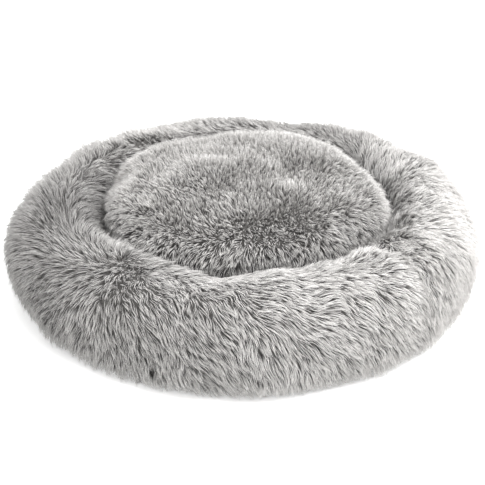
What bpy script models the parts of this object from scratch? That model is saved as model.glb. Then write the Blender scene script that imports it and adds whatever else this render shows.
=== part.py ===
"""Round plush pet bed: a stuffed ring round a loose domed cushion, each cover closed by its own zip.

Metres, +Z up. The origin is on the floor at the centre of the ring, and azimuths count from +X
towards +Y in degrees. Every soft piece is turned about the bed's own axis.
"""

import math

import bmesh
import bpy

# Ring, over the pile
BED_DIAMETER = 0.80
RING_HEIGHT = 0.175
RING_WIDTH = 0.165
RING_CREST_FULLNESS = 2.3  # exponent of the section's oval: 2 is an ellipse, more is squarer
RING_FOOT_FULLNESS = 2.6
RING_SEAMS = (-45.0, 135.0)  # azimuths of the two seams across the ring's cover
RING_FOOT_HEIGHT = 0.0022  # where the ring's cover meets the base

# Cushion, over the pile
CUSHION_TOP = 0.222  # crown of the cushion above the floor
CUSHION_WIDEST = 0.105  # height of its widest level
CUSHION_FLAT_RADIUS = 0.150
CUSHION_OVERHANG = 0.020  # how far it leans out over the ring's wall, above its widest level
CUSHION_CROWN_FULLNESS = 3.0
CUSHION_FOOT_FULLNESS = 2.3
CUSHION_SEAM_HEIGHT = 0.030  # where the cushion's plush meets its underside fabric
CUSHION_LIFT_GAP = 0.004  # ring to cushion, all round

# Layers
PLUSH_THICKNESS = 0.012  # backing and laid pile
CRUSHED_PLUSH = 0.003  # the same where it is pressed flat underneath
LINER_THICKNESS = 0.0015
BASE_THICKNESS = 0.0015
UNDERSIDE_THICKNESS = 0.0015
BASE_INSET = 0.063  # from the ring's outside in to the base's edge
NESTING = 0.0015  # room between nested layers
SEAM_GAP = 0.0003  # between pieces that are sewn edge to edge

# Filling openings in the liners
LINER_OPENING = 22.5  # degrees

# Zips: both covers use the same coil zip
TAPE_THICKNESS = 0.0006
TAPE_WIDTH = 0.0075
COIL_WIDTH = 0.0024
COIL_THICKNESS = 0.0020
COIL_SPLIT = 0.0012  # between the two coils, where the slider's web runs
RUNNING_GAP = 0.0004
ZIP_LENGTH = 90.0  # degrees
ZIP_START = 30.0  # azimuth of the open end
RING_ZIP_HEIGHT = 0.038
CUSHION_ZIP_HEIGHT = 0.048
STOP_LENGTH = 0.0025
STOP_WIDTH = 0.0064
STOP_GAP = 0.0012  # slider to stop when the zip is shut

# Slider and pull
SLIDER_LENGTH = 0.012
SLIDER_WIDTH = 0.009
SLIDER_PLATE = 0.0010
SLIDER_WEB = 0.0005
BAIL_WIDTH = 0.0020
BAIL_THICKNESS = 0.0010
PULL_LENGTH = 0.018
PULL_WIDTH = 0.0070
PULL_THICKNESS = 0.0012
PULL_SIDE = 0.0012  # the pull's frame beside its window
PULL_GAP = 0.0004

# Care label, sewn into the rear seam of the ring
LABEL_WIDTH = 0.028
LABEL_LENGTH = 0.042
LABEL_THICKNESS = 0.0005
LABEL_STANDOFF = 0.0008

# Facets
TURN_STEP = 9.0  # degrees
ZIP_STEP = 2.5
RING_SECTION_STEP = 24.0
CUSHION_SECTION_STEP = 12.0
UNDERSIDE_PANELS = 4  # across the curve of the cushion's underside

# Worked out from the sizes above
RING_RADIUS = (BED_DIAMETER - RING_WIDTH) / 2
WELL_RADIUS = BED_DIAMETER / 2 - RING_WIDTH
CUSHION_RADIUS = WELL_RADIUS - CUSHION_LIFT_GAP
CUSHION_SHOULDER_RADIUS = CUSHION_RADIUS + CUSHION_OVERHANG
BASE_RADIUS = BED_DIAMETER / 2 - BASE_INSET
CUSHION_BOTTOM = BASE_THICKNESS + 2 * SEAM_GAP
ZIP_BAND = 2 * TAPE_WIDTH + COIL_SPLIT
WHOLE_TURN = 360.0

FINISHES = {
    # name: (linear colour, roughness, metallic)
    "plush": ((0.42, 0.41, 0.40), 0.95, 0.0),
    "liner": ((0.78, 0.78, 0.77), 0.90, 0.0),
    "fibre": ((0.86, 0.86, 0.85), 1.00, 0.0),
    "base_fabric": ((0.055, 0.055, 0.058), 0.80, 0.0),
    "zip_tape": ((0.33, 0.33, 0.33), 0.85, 0.0),
    "zip_coil": ((0.36, 0.36, 0.36), 0.45, 0.0),
    "zip_metal": ((0.55, 0.55, 0.56), 0.30, 1.0),
    "label": ((0.85, 0.85, 0.84), 0.70, 0.0),
}


def material(finish):
    found = bpy.data.materials.get(finish)
    if found:
        return found
    colour, roughness, metallic = FINISHES[finish]
    made = bpy.data.materials.new(finish)
    made.use_nodes = True
    shader = made.node_tree.nodes["Principled BSDF"]
    shader.inputs["Base Color"].default_value = (*colour, 1.0)
    shader.inputs["Roughness"].default_value = roughness
    shader.inputs["Metallic"].default_value = metallic
    return made


def add_object(name, mesh, finish, crease=40.0):
    """Closes a bmesh into a named object with its faces pointing out."""
    bmesh.ops.recalc_face_normals(mesh, faces=mesh.faces)
    data = bpy.data.meshes.new(name)
    mesh.to_mesh(data)
    mesh.free()
    data.shade_smooth()
    data.set_sharp_from_angle(angle=math.radians(crease))
    data.materials.append(material(finish))
    made = bpy.data.objects.new(name, data)
    bpy.context.collection.objects.link(made)
    return made


def steps(start, end, step):
    """Evenly spaced values from start to end, no further apart than step."""
    count = max(1, math.ceil(abs(end - start) / step - 1e-6))
    return [start + (end - start) * i / count for i in range(count)] + [end]


def through(stops, step):
    """Evenly spaced values that pass through every one of the stops."""
    values = [stops[0]]
    for start, end in zip(stops, stops[1:]):
        values += steps(start, end, step)[1:]
    return values


def whole_turn():
    """Azimuths all the way round, among them both ends of the zips."""
    return through([ZIP_START, ZIP_START + ZIP_LENGTH, ZIP_START + WHOLE_TURN], TURN_STEP)[:-1]


def turned_rows(mesh, profile, azimuths):
    """Vertices of a profile of (radius, height) at each azimuth; a point on the axis is made once."""
    poles = {i: mesh.verts.new((0, 0, z)) for i, (r, z) in enumerate(profile) if r < 1e-9}
    rows = []
    for azimuth in azimuths:
        cosine, sine = math.cos(math.radians(azimuth)), math.sin(math.radians(azimuth))
        row = [poles.get(i) or mesh.verts.new((r * cosine, r * sine, z)) for i, (r, z) in enumerate(profile)]
        rows.append(row)
    return rows


def add_face(mesh, corners):
    """A face from its corners, skipping repeats where it reaches the axis."""
    different = list(dict.fromkeys(corners))
    if len(different) > 2:
        mesh.faces.new(different)


def turned_solid(name, profile, finish, azimuths=None, loop=False):
    """A solid turned about Z: all the way round, or over the azimuths given, with flat ends."""
    whole = azimuths is None
    azimuths = whole_turn() if whole else azimuths
    mesh = bmesh.new()
    rows = turned_rows(mesh, profile, azimuths)
    for i in range(len(rows) if whole else len(rows) - 1):
        here, after = rows[i], rows[(i + 1) % len(rows)]
        for j in range(len(profile) if loop else len(profile) - 1):
            k = (j + 1) % len(profile)
            add_face(mesh, [here[j], after[j], after[k], here[k]])
    if not whole:
        mesh.faces.new(rows[0])
        mesh.faces.new(rows[-1])
    return add_object(name, mesh, finish)


def turned_shell(name, outer, inner, finish, azimuths=None, loop=False, missing=()):
    """A shell between two profiles turned about Z, with walls round its edges and its missing panels."""
    whole = azimuths is None
    azimuths = whole_turn() if whole else azimuths
    mesh = bmesh.new()
    skins = [turned_rows(mesh, profile, azimuths) for profile in (outer, inner)]
    turns, points = len(azimuths), len(outer)
    panels = {
        (i, j)
        for i in range(turns if whole else turns - 1)
        for j in range(points if loop else points - 1)
        if (i, j) not in missing
    }
    for i, j in panels:
        i_next, j_next = (i + 1) % turns, (j + 1) % points
        corners = [(i, j), (i_next, j), (i_next, j_next), (i, j_next)]
        for skin in skins:
            add_face(mesh, [skin[a][b] for a, b in corners])
        beside = [
            (i, (j - 1) % points if loop else j - 1),
            ((i + 1) % turns if whole else i + 1, j),
            (i, (j + 1) % points if loop else j + 1),
            ((i - 1) % turns if whole else i - 1, j),
        ]
        for side, neighbour in enumerate(beside):
            if neighbour not in panels:
                (a, b), (c, d) = corners[side], corners[(side + 1) % 4]
                add_face(mesh, [skins[0][a][b], skins[0][c][d], skins[1][c][d], skins[1][a][b]])
    return add_object(name, mesh, finish)


def oval_height(angle, up, down, crown, foot):
    """Height over the widest level at a section angle, which is 0 there and 90 at the top."""
    sine = math.sin(math.radians(angle))
    half, fullness = (up, crown) if sine >= 0 else (down, foot)
    return math.copysign(half * abs(sine) ** (2 / fullness), sine)


def oval_reach(angle, fullness):
    """Share of the half width reached at a section angle."""
    cosine = math.cos(math.radians(angle))
    return math.copysign(abs(cosine) ** (2 / fullness), cosine)


def foot_angle(drop, down, foot):
    """Section angle, below the widest level, of the point that lies this far under it."""
    return -math.degrees(math.asin((drop / down) ** (foot / 2)))


def ring_point(angle, side=0.0, crown=0.0, foot=0.0):
    """A point of the ring's section, inset at its sides, crown and foot."""
    half_height = RING_HEIGHT / 2
    fullness = RING_CREST_FULLNESS if math.sin(math.radians(angle)) >= 0 else RING_FOOT_FULLNESS
    reach = (RING_WIDTH / 2 - side) * oval_reach(angle, fullness)
    up, down = half_height - crown, half_height - foot
    height = oval_height(angle, up, down, RING_CREST_FULLNESS, RING_FOOT_FULLNESS)
    return RING_RADIUS + reach, half_height + height


def well_radius(height):
    """How far the cushion may reach at a height, to stay clear of the ring and still lift straight out."""
    share = max(0.0, 2 * height / RING_HEIGHT - 1)
    wall = RING_WIDTH / 2 * max(0.0, 1 - share**RING_CREST_FULLNESS) ** (1 / RING_CREST_FULLNESS)
    return RING_RADIUS - wall - CUSHION_LIFT_GAP


def cushion_point(angle, side=0.0, crown=0.0, foot=0.0):
    """A point of the cushion's half section, inset at its side, crown and foot."""
    above = math.sin(math.radians(angle)) >= 0
    fullness = CUSHION_CROWN_FULLNESS if above else CUSHION_FOOT_FULLNESS
    flat, widest = (0.0, CUSHION_SHOULDER_RADIUS) if above else (CUSHION_FLAT_RADIUS, CUSHION_RADIUS)
    reach = flat + (widest - side - flat) * oval_reach(angle, fullness)
    up, down = CUSHION_TOP - CUSHION_WIDEST - crown, CUSHION_WIDEST - CUSHION_BOTTOM - foot
    height = CUSHION_WIDEST + oval_height(angle, up, down, CUSHION_CROWN_FULLNESS, CUSHION_FOOT_FULLNESS)
    return (0.0 if angle == 90 else min(reach, well_radius(height) - side)), height


def ring_foot_angle(height, foot=0.0):
    """Section angle of the ring's lower side at a height."""
    half_height = RING_HEIGHT / 2
    return foot_angle(half_height - height, half_height - foot, RING_FOOT_FULLNESS)


def cushion_foot_angle(height, foot=0.0):
    """Section angle of the cushion's lower side at a height."""
    down = CUSHION_WIDEST - CUSHION_BOTTOM - foot
    return foot_angle(CUSHION_WIDEST - height, down, CUSHION_FOOT_FULLNESS)


def zip_slot(height):
    """Heights of the lower and upper edges of the slot that a zip is sewn into."""
    half = ZIP_BAND / 2 + SEAM_GAP
    return height - half, height + half


def slot_panels(angles, low, high, azimuths):
    """The panels left out of a cover for its zip."""
    first, last = azimuths.index(ZIP_START), azimuths.index(ZIP_START + ZIP_LENGTH)
    return {(i, j) for i in range(first, last) for j in range(angles.index(low), angles.index(high))}


def liner_opening_turns():
    """Which turned panels a liner leaves open for its filling, behind the middle of the zip."""
    first = round((ZIP_LENGTH - LINER_OPENING) / 2 / TURN_STEP)
    return range(first, first + max(1, round(LINER_OPENING / TURN_STEP)))


def ring_angles():
    """Section angles of the ring's cover from foot to foot, and of the zip slot's two edges."""
    foot = ring_foot_angle(RING_FOOT_HEIGHT)
    bottom, top = zip_slot(RING_ZIP_HEIGHT)
    low, high = ring_foot_angle(bottom, CRUSHED_PLUSH), ring_foot_angle(top)
    return through([foot, low, high, 90.0, 180.0 - foot], RING_SECTION_STEP), low, high


def ring_covers():
    angles, low, high = ring_angles()
    outer = [ring_point(angle) for angle in angles]
    inner = [ring_point(angle, PLUSH_THICKNESS, PLUSH_THICKNESS, CRUSHED_PLUSH) for angle in angles]
    ease = math.degrees(SEAM_GAP / 2 / WELL_RADIUS)
    front, back = RING_SEAMS
    zip_end = ZIP_START + ZIP_LENGTH
    right = through([front + ease, ZIP_START, zip_end, back - ease], TURN_STEP)
    left = steps(back + ease, front + WHOLE_TURN - ease, TURN_STEP)
    missing = slot_panels(angles, low, high, right)
    turned_shell("ring_plush_right", outer, inner, "plush", right, missing=missing)
    turned_shell("ring_plush_left", outer, inner, "plush", left)


def ring_stuffing():
    depth = PLUSH_THICKNESS + NESTING
    crushed = CRUSHED_PLUSH + NESTING
    angles, low, high = ring_angles()
    slot = angles.index(low)
    angles += steps(angles[-1], WHOLE_TURN + angles[0], RING_SECTION_STEP)[1:-1]
    outer = [ring_point(angle, depth, depth, crushed) for angle in angles]
    depth, crushed = depth + LINER_THICKNESS, crushed + LINER_THICKNESS
    inner = [ring_point(angle, depth, depth, crushed) for angle in angles]
    missing = {(turn, slot) for turn in liner_opening_turns()}
    turned_shell("ring_liner", outer, inner, "liner", loop=True, missing=missing)
    depth, crushed = depth + NESTING, crushed + NESTING
    core = [ring_point(angle, depth, depth, crushed) for angle in angles]
    turned_solid("ring_fill", core, "fibre", loop=True)


def base_panel():
    profile = [(0.0, 0.0), (BASE_RADIUS, 0.0), (BASE_RADIUS, BASE_THICKNESS), (0.0, BASE_THICKNESS)]
    turned_solid("base_panel", profile, "base_fabric")


def cushion_angles():
    """Section angles of the cushion's plush from its seam to its crown, and of the zip slot's two edges."""
    seam = cushion_foot_angle(CUSHION_SEAM_HEIGHT)
    bottom, top = zip_slot(CUSHION_ZIP_HEIGHT)
    low, high = cushion_foot_angle(bottom, CRUSHED_PLUSH), cushion_foot_angle(top)
    return through([seam, low, high, 0.0, 90.0], CUSHION_SECTION_STEP), low, high


def cushion_covers():
    angles, low, high = cushion_angles()
    outer = [cushion_point(angle) for angle in angles]
    inner = [cushion_point(angle, PLUSH_THICKNESS, PLUSH_THICKNESS, CRUSHED_PLUSH) for angle in angles]
    missing = slot_panels(angles, low, high, whole_turn())
    turned_shell("cushion_plush_top", outer, inner, "plush", missing=missing)

    def underside(inset):
        edge = cushion_foot_angle(CUSHION_SEAM_HEIGHT - SEAM_GAP, inset)
        curve = [-90.0 + (edge + 90.0) * i / UNDERSIDE_PANELS for i in range(UNDERSIDE_PANELS + 1)]
        points = [cushion_point(angle, inset, inset, inset) for angle in curve]
        return [(0.0, CUSHION_BOTTOM + inset)] + points

    outer, inner = underside(0.0), underside(UNDERSIDE_THICKNESS)
    turned_shell("cushion_underside", outer, inner, "base_fabric")


def cushion_stuffing():
    depth = PLUSH_THICKNESS + NESTING
    crushed = CRUSHED_PLUSH + NESTING
    angles, low, high = cushion_angles()
    angles = steps(-90.0, angles[0], CUSHION_SECTION_STEP)[:-1] + angles

    def profile(side, foot):
        points = [cushion_point(angle, side, side, foot) for angle in angles]
        return [(0.0, points[0][1])] + points

    outer = profile(depth, crushed)
    depth, crushed = depth + LINER_THICKNESS, crushed + LINER_THICKNESS
    inner = profile(depth, crushed)
    slot = angles.index(low) + 1  # the profile starts with one more point, on the axis
    missing = {(turn, slot) for turn in liner_opening_turns()}
    turned_shell("cushion_liner", outer, inner, "liner", missing=missing)
    turned_solid("cushion_fill", profile(depth + NESTING, crushed + NESTING), "fibre")


def block(mesh, low, high):
    """A box between two corners."""
    (x0, y0, z0), (x1, y1, z1) = low, high
    corners = [mesh.verts.new((x, y, z)) for x in (x0, x1) for y in (y0, y1) for z in (z0, z1)]
    for face in ((0, 1, 3, 2), (4, 6, 7, 5), (0, 4, 5, 1), (2, 3, 7, 6), (0, 2, 6, 4), (1, 5, 7, 3)):
        mesh.faces.new([corners[i] for i in face])


def extruded(mesh, outline, start, end, place):
    """An outline of (u, v) swept from start to end; place turns u, v and the distance into a point."""
    ends = [[mesh.verts.new(place(u, v, w)) for u, v in outline] for w in (start, end)]
    for i in range(len(outline)):
        j = (i + 1) % len(outline)
        mesh.faces.new([ends[0][i], ends[0][j], ends[1][j], ends[1][i]])
    mesh.faces.new(ends[0])
    mesh.faces.new(ends[1])


def empty(name, location, azimuth, parent=None):
    made = bpy.data.objects.new(name, None)
    bpy.context.collection.objects.link(made)
    made.location = location
    made.rotation_euler.z = math.radians(azimuth)
    made.parent = parent
    return made


def zip_arc(tape_radius, inset):
    """Azimuths of a zip's two ends, drawn in by a length along the tape."""
    degrees = math.degrees(inset / tape_radius)
    return ZIP_START + degrees, ZIP_START + ZIP_LENGTH - degrees


def zip_chain(cover, tape_radius, height):
    """Two tapes, a coil on the edge of each, and a stop at each end of the coils. The tapes run on past
    the stops by the length of a pull, so that the pull can lie either way inside the slot."""
    azimuths = steps(*zip_arc(tape_radius, SEAM_GAP), ZIP_STEP)
    stop_start, stop_end = zip_arc(tape_radius, PULL_LENGTH)
    coil_azimuths = steps(*zip_arc(tape_radius, PULL_LENGTH + STOP_LENGTH + SEAM_GAP), ZIP_STEP)
    tape_back, tape_face = tape_radius - TAPE_THICKNESS / 2, tape_radius + TAPE_THICKNESS / 2
    coil_back = tape_face + SEAM_GAP
    coil_face = coil_back + COIL_THICKNESS
    for side, up in (("upper", 1), ("lower", -1)):
        near, far = height + up * COIL_SPLIT / 2, height + up * (COIL_SPLIT / 2 + TAPE_WIDTH)
        tape = [(tape_back, near), (tape_face, near), (tape_face, far), (tape_back, far)]
        turned_solid(f"{cover}_zip_tape_{side}", tape, "zip_tape", azimuths, loop=True)
        middle = (coil_back + coil_face) / 2
        edge = near + up * COIL_WIDTH
        coil = [
            (coil_back, near + up * COIL_WIDTH / 4),
            (middle, near),
            (coil_face, near + up * COIL_WIDTH / 4),
            (coil_face, edge - up * COIL_WIDTH / 4),
            (middle, edge),
            (coil_back, edge - up * COIL_WIDTH / 4),
        ]
        turned_solid(f"{cover}_zip_coil_{side}", coil, "zip_coil", coil_azimuths, loop=True)
    half = STOP_WIDTH / 2
    stop_arc = math.degrees(STOP_LENGTH / tape_radius)
    for where, low in (("start", stop_start), ("end", stop_end - stop_arc)):
        stop = [
            (coil_back, height - half),
            (coil_face, height - half),
            (coil_face, height + half),
            (coil_back, height + half),
        ]
        turned_solid(f"{cover}_zip_stop_{where}", stop, "zip_metal", [low, low + stop_arc], loop=True)


def zip_slider(cover, tape_radius, height):
    """A slider that runs round the bed's axis, and a pull that swings on its bail. Closed is at the end."""
    _, closed_at = zip_arc(tape_radius, PULL_LENGTH + STOP_LENGTH + SLIDER_LENGTH / 2 + STOP_GAP)
    travel = empty(f"{cover}_zip_travel", (0, 0, height), closed_at)

    back = tape_radius - TAPE_THICKNESS / 2 - RUNNING_GAP
    face = tape_radius + TAPE_THICKNESS / 2 + SEAM_GAP + COIL_THICKNESS + RUNNING_GAP
    half, web = SLIDER_WIDTH / 2, SLIDER_WEB / 2
    one_side = [
        (back - SLIDER_PLATE, half),
        (back, half),
        (back, web),
        (face, web),
        (face, half),
        (face + SLIDER_PLATE, half),
    ]
    beam = one_side + [(x, -z) for x, z in reversed(one_side)]
    mesh = bmesh.new()
    extruded(mesh, beam, -SLIDER_LENGTH / 2, SLIDER_LENGTH / 2, lambda x, z, y: (x, y, z))
    slider = add_object(f"{cover}_zip_slider", mesh, "zip_metal")

    top = face + SLIDER_PLATE
    swing = math.hypot(PULL_THICKNESS, PULL_THICKNESS) / 2 + PULL_GAP
    inside, leg = 2 * swing, swing + BAIL_THICKNESS
    bail_outline = [
        (top - SLIDER_PLATE / 2, -leg),
        (top + inside + BAIL_THICKNESS, -leg),
        (top + inside + BAIL_THICKNESS, leg),
        (top - SLIDER_PLATE / 2, leg),
        (top - SLIDER_PLATE / 2, swing),
        (top + inside, swing),
        (top + inside, -swing),
        (top - SLIDER_PLATE / 2, -swing),
    ]
    mesh = bmesh.new()
    extruded(mesh, bail_outline, -BAIL_WIDTH / 2, BAIL_WIDTH / 2, lambda x, y, z: (x, y, z))
    bail = add_object(f"{cover}_zip_bail_shape", mesh, "zip_metal")
    bail.hide_render = True
    bail.display_type = "WIRE"
    union = slider.modifiers.new("bail", "BOOLEAN")
    union.operation = "UNION"
    union.object = bail
    for piece in (slider, bail):
        piece.parent = travel

    pivot = empty(f"{cover}_zip_pull_pivot", (top + swing, 0, 0), 0, travel)
    half_bar, half_width = PULL_THICKNESS / 2, PULL_WIDTH / 2
    window = math.hypot(leg, leg) + PULL_GAP  # clears the bail's outer corners
    across = [-half_width, -half_width + PULL_SIDE, half_width - PULL_SIDE, half_width]
    along = [half_bar, -half_bar, -window, -PULL_LENGTH]
    mesh = bmesh.new()
    grid = [[mesh.verts.new((0, y, z)) for z in across] for y in along]
    for i in range(len(along) - 1):
        for j in range(len(across) - 1):
            if (i, j) != (1, 1):
                mesh.faces.new([grid[i][j], grid[i + 1][j], grid[i + 1][j + 1], grid[i][j + 1]])
    pull = add_object(f"{cover}_zip_pull", mesh, "zip_metal")
    thicken = pull.modifiers.new("thickness", "SOLIDIFY")
    thicken.thickness = PULL_THICKNESS
    thicken.offset = 0.0
    pull.parent = pivot


def care_label():
    """A flat woven label that hangs out of the rear seam, against the widest part of the ring."""
    near = BED_DIAMETER / 2 + LABEL_STANDOFF
    middle = RING_HEIGHT / 2
    mesh = bmesh.new()
    block(
        mesh,
        (near, 0.0, middle - LABEL_LENGTH / 2),
        (near + LABEL_THICKNESS, LABEL_WIDTH, middle + LABEL_LENGTH / 2),
    )
    label = add_object("care_label", mesh, "label")
    label.rotation_euler.z = math.radians(RING_SEAMS[1])


def build():
    for old in list(bpy.data.objects):
        bpy.data.objects.remove(old)
    base_panel()
    ring_covers()
    ring_stuffing()
    care_label()
    cushion_covers()
    cushion_stuffing()
    for cover, height, foot_angle_at, point in (
        ("ring", RING_ZIP_HEIGHT, ring_foot_angle, ring_point),
        ("cushion", CUSHION_ZIP_HEIGHT, cushion_foot_angle, cushion_point),
    ):
        side, foot = PLUSH_THICKNESS + NESTING, CRUSHED_PLUSH + NESTING
        # The slider's back plate has to clear the liner, and so does the tape's upper edge
        slider_back, tape_back = (
            point(foot_angle_at(height + half, foot), side, side, foot)[0] + SEAM_GAP
            for half in (SLIDER_WIDTH / 2, ZIP_BAND / 2)
        )
        tape_radius = max(slider_back + SLIDER_PLATE + RUNNING_GAP, tape_back) + TAPE_THICKNESS / 2
        zip_chain(cover, tape_radius, height)
        zip_slider(cover, tape_radius, height)


build()
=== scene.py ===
"""Round plush pet bed: the looks of its ring, cushion, base, zips and label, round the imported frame.

Metres, +Z up, azimuths in degrees from +X towards +Y, as in the frame.
"""

import functools
import itertools
import math

import bmesh
import bpy
import numpy as np
from bpy.props import FloatProperty, FloatVectorProperty, PointerProperty
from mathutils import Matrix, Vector, kdtree


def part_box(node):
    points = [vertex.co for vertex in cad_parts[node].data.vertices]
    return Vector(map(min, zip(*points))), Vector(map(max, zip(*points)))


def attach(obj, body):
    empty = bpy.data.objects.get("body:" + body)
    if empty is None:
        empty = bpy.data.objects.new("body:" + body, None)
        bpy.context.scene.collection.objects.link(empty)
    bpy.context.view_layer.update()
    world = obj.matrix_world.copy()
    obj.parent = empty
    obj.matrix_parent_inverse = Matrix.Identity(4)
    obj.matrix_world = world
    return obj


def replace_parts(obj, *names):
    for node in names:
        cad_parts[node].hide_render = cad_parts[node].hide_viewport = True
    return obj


bl_info = {
    "name": "Round plush pet bed",
    "version": (1, 0, 0),
    "blender": (4, 5, 0),
    "location": "3D View > Sidebar > Pet bed",
    "description": "Builds a shaggy round pet bed with a loose cushion round its frame",
    "category": "Object",
}

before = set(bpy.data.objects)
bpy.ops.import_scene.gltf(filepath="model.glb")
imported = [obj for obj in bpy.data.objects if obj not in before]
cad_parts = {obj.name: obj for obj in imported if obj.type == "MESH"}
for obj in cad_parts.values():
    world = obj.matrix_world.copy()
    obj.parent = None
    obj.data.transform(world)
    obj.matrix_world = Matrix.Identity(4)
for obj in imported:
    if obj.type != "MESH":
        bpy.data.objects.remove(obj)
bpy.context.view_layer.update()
MM = 0.001
WHOLE_TURN = 360.0
WAVE_SCALE = math.pi / 10  # a wave texture of this scale has one band to the metre


# ---------------------------------------------------------------- sizes from the frame


def node_points(node):
    """A CAD node's points."""
    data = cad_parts[node].data
    points = np.zeros(len(data.vertices) * 3, np.float32)
    data.vertices.foreach_get("co", points)
    return points.reshape(-1, 3).astype(float)


def reach_of(node):
    """Nearest and furthest distance of a CAD node from the bed's axis."""
    reach = np.hypot(*node_points(node)[:, :2].T)
    return float(reach.min()), float(reach.max())


def turn_of(node):
    """First and last azimuth of a CAD node that lies between 0 and 180 degrees."""
    points = node_points(node)
    azimuths = np.degrees(np.arctan2(points[:, 1], points[:, 0]))
    return float(azimuths.min()), float(azimuths.max())


def zip_of(cover):
    """Height, radius, half width and end azimuths of a cover's zip."""
    low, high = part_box(f"{cover}_zip_tape_lower")[0].z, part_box(f"{cover}_zip_tape_upper")[1].z
    near, far = reach_of(f"{cover}_zip_tape_upper")
    start, end = turn_of(f"{cover}_zip_tape_upper")
    return {"height": (low + high) / 2, "radius": far, "half": (high - low) / 2, "start": start, "end": end}


WELL_RADIUS, BED_RADIUS = reach_of("ring_plush_right")[0], reach_of("ring_plush_right")[1]
RING_RADIUS = (BED_RADIUS + WELL_RADIUS) / 2
RING_HALF_WIDTH = (BED_RADIUS - WELL_RADIUS) / 2
RING_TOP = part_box("ring_plush_right")[1].z
RING_MIDDLE = RING_TOP / 2
RING_CREST_FULLNESS, RING_FOOT_FULLNESS = 2.3, 2.6  # exponents of the section's oval, as in the frame
RING_SEAMS = (-45.0, 135.0)
SHOULDER_RADIUS = reach_of("cushion_plush_top")[1]
WELL_GAP = 0.004
CUSHION_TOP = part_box("cushion_plush_top")[1].z
CUSHION_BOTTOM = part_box("cushion_underside")[0].z
CUSHION_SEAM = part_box("cushion_underside")[1].z
CUSHION_WIDEST = 0.105
CUSHION_FLAT_RADIUS = 0.150
CUSHION_CROWN_FULLNESS, CUSHION_FOOT_FULLNESS = 3.0, 2.3
BASE_RADIUS = reach_of("base_panel")[1]
BASE_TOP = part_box("base_panel")[1].z
ZIPS = {cover: zip_of(cover) for cover in ("ring", "cushion")}

# The skins lie this far inside the frame's outer surface, which is where the pile ends.
RING_SKIN_DEPTH = 0.0125
CUSHION_SKIN_DEPTH = 0.0135
CUSHION_SIDE_DEPTH = 0.012
CRUSHED_DEPTH = 0.003  # the same underneath, where the pile is pressed flat
SKIN_THICKNESS = 0.0012
RING_SAG = 0.002  # room for the ring's lumps
TAPE_LAP = 0.0015  # how far a cover's edges lap over its zip tapes


# ---------------------------------------------------------------- colours and materials


def linear(code):
    """An sRGB hex colour as linear red, green and blue."""
    shares = [int(code[i : i + 2], 16) / 255 for i in (1, 3, 5)]
    return tuple(v / 12.92 if v <= 0.04045 else ((v + 0.055) / 1.055) ** 2.4 for v in shares)


def colour(name, code, description):
    """A colour setting, from an sRGB hex code."""
    return FloatVectorProperty(name=name, description=description, subtype="COLOR", default=linear(code))


def length(name, metres, description):
    """A length setting, between a quarter and four times its value as it is."""
    return FloatProperty(
        name=name, description=description, default=metres, min=metres / 4, max=metres * 4, subtype="DISTANCE"
    )


def number(name, value, description, **more):
    """A number setting, from nothing to five times its value as it is."""
    return FloatProperty(name=name, description=description, default=value, min=0.0, max=value * 5, **more)


class PetBedPile(bpy.types.PropertyGroup):
    """Sizes and colours of the shaggy pile."""

    ring_length: length("Ring pile", 0.024, "Length of a strand on the ring")
    cushion_length: length("Cushion pile", 0.019, "Length of a strand on the cushion")
    strand_width: length("Strand", 0.0009, "Width at its root of a strand, which stands for several fibres")
    ring_density: number("Ring strands", 135000.0, "Strands to the square metre of the ring")
    cushion_density: number("Cushion strands", 190000.0, "Strands to the square metre of the cushion")
    root_colour: colour("Root", "#5f5d5b", "Colour at the root")
    lower_colour: colour("Lower shaft", "#9f9d9b", "Colour a quarter of the way up")
    upper_colour: colour("Upper shaft", "#d6d4d2", "Colour half way up")
    tip_colour: colour("Tip", "#dedcda", "Colour of the frosted tip")


class PetBedCloths(bpy.types.PropertyGroup):
    """Colours of the cloths and of the filling."""

    backing_colour: colour("Backing", "#5c5a58", "Knitted backing of the plush")
    liner_colour: colour("Liner", "#e6e6e4", "Spunbond liner")
    fibre_colour: colour("Filling", "#f0f0ee", "Hollow fibre filling")
    base_colour: colour("Base", "#45464a", "Oxford cloth of the base and of the cushion's underside")
    dot_colour: colour("Grip dots", "#2b2b2d", "Soft vinyl dots under the base")
    label_colour: colour("Label", "#f1f0ec", "Woven satin care label")
    thread_spacing: length("Thread spacing", 0.0009, "Spacing of the Oxford cloth's threads")


class PetBedZips(bpy.types.PropertyGroup):
    """Sizes and colours of the two zips."""

    tape_colour: colour("Tape", "#9d9b99", "Woven tape")
    coil_colour: colour("Coil", "#a6a4a2", "Nylon coil")
    metal_colour: colour("Slider", "#c9c6c1", "Nickel plate of slider, pull and stops")
    coil_pitch: length("Coil pitch", 0.0016, "From one turn of the coil to the next")
    rounding: length("Edge rounding", 0.00025, "Radius on the metal pieces' edges")


class PetBedStage(bpy.types.PropertyGroup):
    """Floor, lights and camera."""

    floor_colour: colour("Floor", "#f7f7f6", "Plain floor")
    surround: number("Surround", 1.2, "Strength of the light from all round")
    key_power: number("Key light", 145.0, "Power of the large light, high on the right", unit="POWER")
    camera_height: number(
        "Camera elevation", math.radians(27.0), "How far the camera looks down", subtype="ANGLE"
    )
    camera_distance: length("Camera distance", 2.0, "From the camera to what it looks at")
    lens: number("Lens", 85.7, "Focal length on a 36 mm sensor")


def add_node(tree, kind, links=(), inputs=(), **settings):
    """Adds a node with its settings, the values of its inputs and the links into them."""
    node = tree.nodes.new(kind)
    for name, value in settings.items():
        setattr(node, name, value)
    for socket, value in dict(inputs).items():
        node.inputs[socket].default_value = value
    for socket, source in dict(links).items():
        tree.links.new(source, node.inputs[socket])
    return node


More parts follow.
